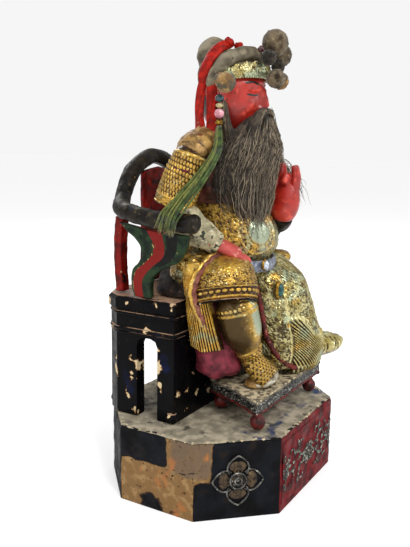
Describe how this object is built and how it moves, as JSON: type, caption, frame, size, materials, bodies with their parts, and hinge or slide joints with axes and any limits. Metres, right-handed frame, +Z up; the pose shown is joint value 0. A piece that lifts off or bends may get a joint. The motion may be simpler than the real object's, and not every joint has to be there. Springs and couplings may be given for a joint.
{
  "type": "daoist deity figure",
  "caption": "Carved and gilded altar figure of a bearded, armoured deity in a horseshoe chair, feet on a footstool, on an eight-sided plinth, with pompoms and tassels on the headgear",
  "frame": {"origin": "centre of the plinth's flat underside, which rests on the altar", "axes": "+Z up; the figure faces -Y; its right hand is on -X"},
  "size_m": [0.21, 0.1751, 0.392],
  "materials": {
    "plinth_lacquer": "worn black and red lacquer over bare wood, satin",
    "stool_paint": "worn paint, matt",
    "chair_lacquer": "black lacquer with chips, semi-gloss",
    "rail_lacquer": "dusty black lacquer, satin",
    "splat_paint": "green and red paint with gold lines, satin",
    "chair_red": "red lacquer, semi-gloss",
    "figure_gilding": "carved wood with gilding, red, pink and cream paint",
    "hair": "crinkled hair, matt",
    "crown_wool": "dusty wool pompom, matt",
    "ear_wool": "dusty wool pompom, matt",
    "teal_glass": "opaque dark teal glass, glossy",
    "cream_glass": "opaque cream bead, glossy",
    "pearl": "pink pearl coat, glossy",
    "bead_cap": "dulled gilt brass",
    "silk_thread": "green silk thread, fraying to straw at the ends",
    "clear_stone": "foil-backed clear stone, glossy",
    "green_stone": "foil-backed teal stone, glossy",
    "dark_red_glass": "opaque dark red glass, glossy"
  },
  "bodies": {
    "root": {"plinth": "plinth_lacquer", "footstool": "stool_paint", "chair_seat": "chair_lacquer", "chair_rail": "rail_lacquer", "chair_back_splat": "chair_red", "chair_side_splat_right": "splat_paint", "chair_rear_post_right": "chair_red", "chair_side_splat_left": "splat_paint", "chair_rear_post_left": "chair_red", "figure": "figure_gilding", "belt_stone": "clear_stone", "front_gem": "green_stone", "diadem_bead": "dark_red_glass", "beard": "hair", "crown_pompom_1": "crown_wool", "crown_pompom_2": "crown_wool", "crown_pompom_3": "crown_wool", "crown_pompom_4": "crown_wool", "crown_pompom_5": "crown_wool", "crown_pompom_6": "crown_wool", "ear_pompom_right_1": "ear_wool", "ear_pompom_right_2": "ear_wool", "ear_teal_bead_right": "teal_glass", "ear_cream_bead_right": "cream_glass", "ear_pearl_right": "pearl", "ear_gilt_cap_right": "bead_cap", "ear_tassel_right": "silk_thread", "ear_pompom_left_1": "ear_wool", "ear_pompom_left_2": "ear_wool", "ear_teal_bead_left": "teal_glass", "ear_cream_bead_left": "cream_glass", "ear_pearl_left": "pearl", "ear_gilt_cap_left": "bead_cap", "ear_tassel_left": "silk_thread"}
  },
  "joints": []
}
